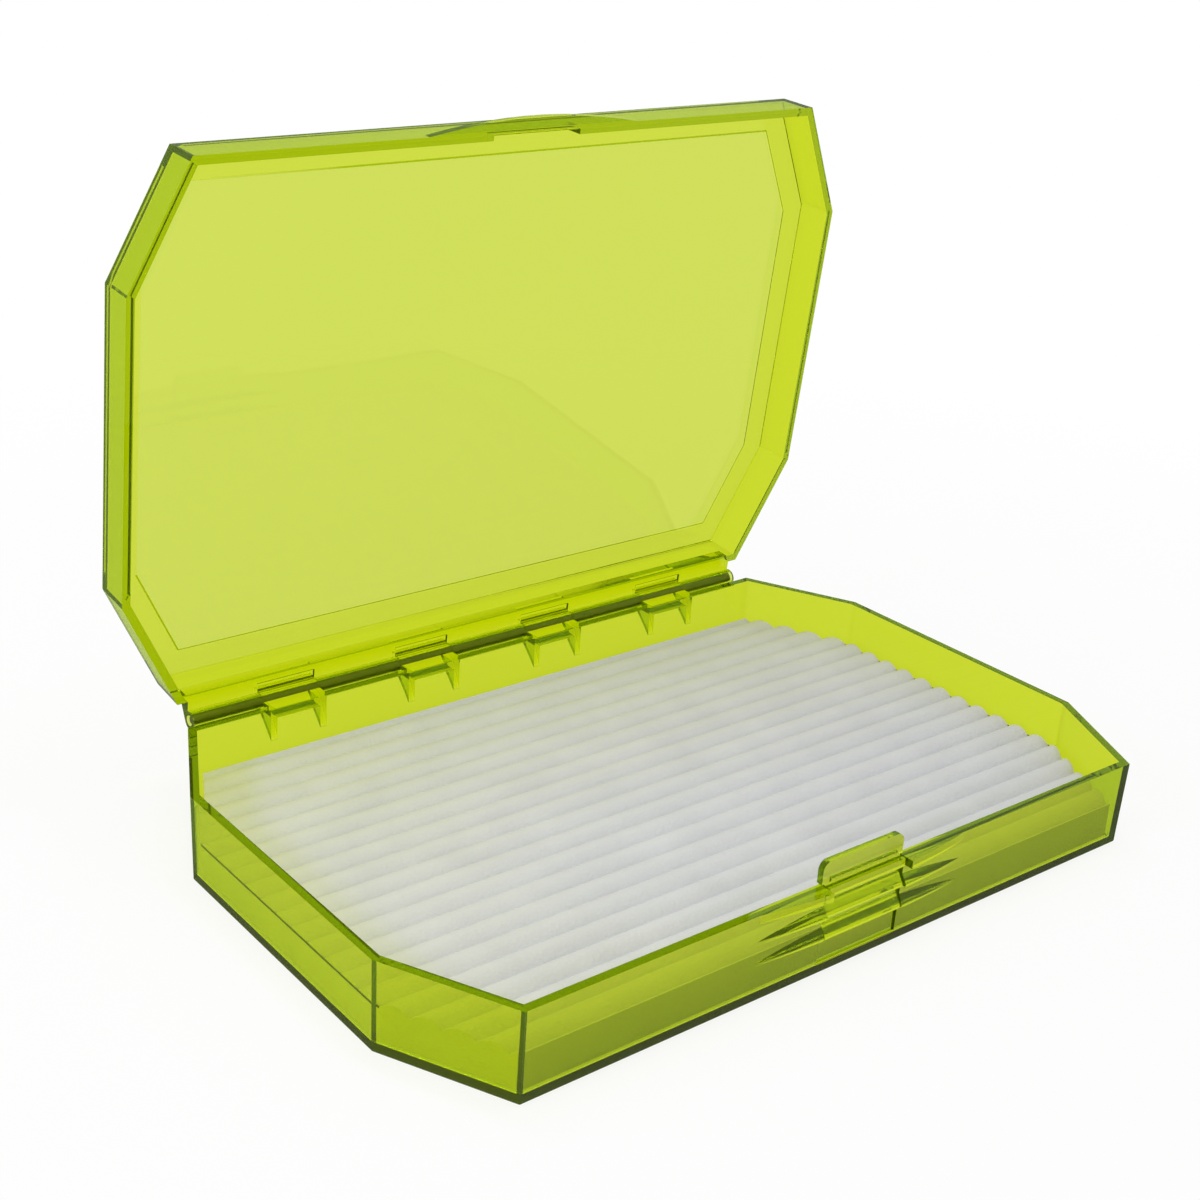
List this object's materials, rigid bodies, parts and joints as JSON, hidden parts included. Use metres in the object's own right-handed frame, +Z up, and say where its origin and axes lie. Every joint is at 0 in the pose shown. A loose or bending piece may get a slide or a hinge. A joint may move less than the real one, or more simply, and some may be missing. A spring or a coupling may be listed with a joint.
{
  "type": "fly_box",
  "caption": "Pocket fly box in clear lime plastic: octagonal tray and lid on a long steel-pin hinge, snap latch tongue, finger grips and a white ripple foam mat",
  "frame": {"origin": "middle of the tray's underside", "axes": "+X along the hinge, +Y from the latch to the hinge, +Z up"},
  "size_m": [0.15, 0.1083, 0.1148],
  "materials": {
    "clear_lime_plastic": "gloss",
    "steel_pin": "satin",
    "ripple_foam": "matte",
    "adhesive_sheet": "matte"
  },
  "bodies": {
    "tray": {"base_tray": "clear_lime_plastic", "hinge_pin": "steel_pin", "foam_insert": "ripple_foam", "foam_adhesive": "adhesive_sheet"},
    "lid": {"lid": "clear_lime_plastic"},
    "latch": {"latch_tongue": "clear_lime_plastic"}
  },
  "joints": [
    {"name": "lid_hinge", "type": "hinge", "parent": "tray", "child": "lid", "pos_m": [0, 0.0508, 0.0148], "axis": [1, 0, 0], "range_deg": [0, 84.5]},
    {"name": "latch_flex", "type": "hinge", "parent": "tray", "child": "latch", "pos_m": [0, -0.04649, 0.002], "axis": [-1, 0, 0], "range_deg": [0, 3], "stiffness_Nm_per_rad": 1}
  ]
}
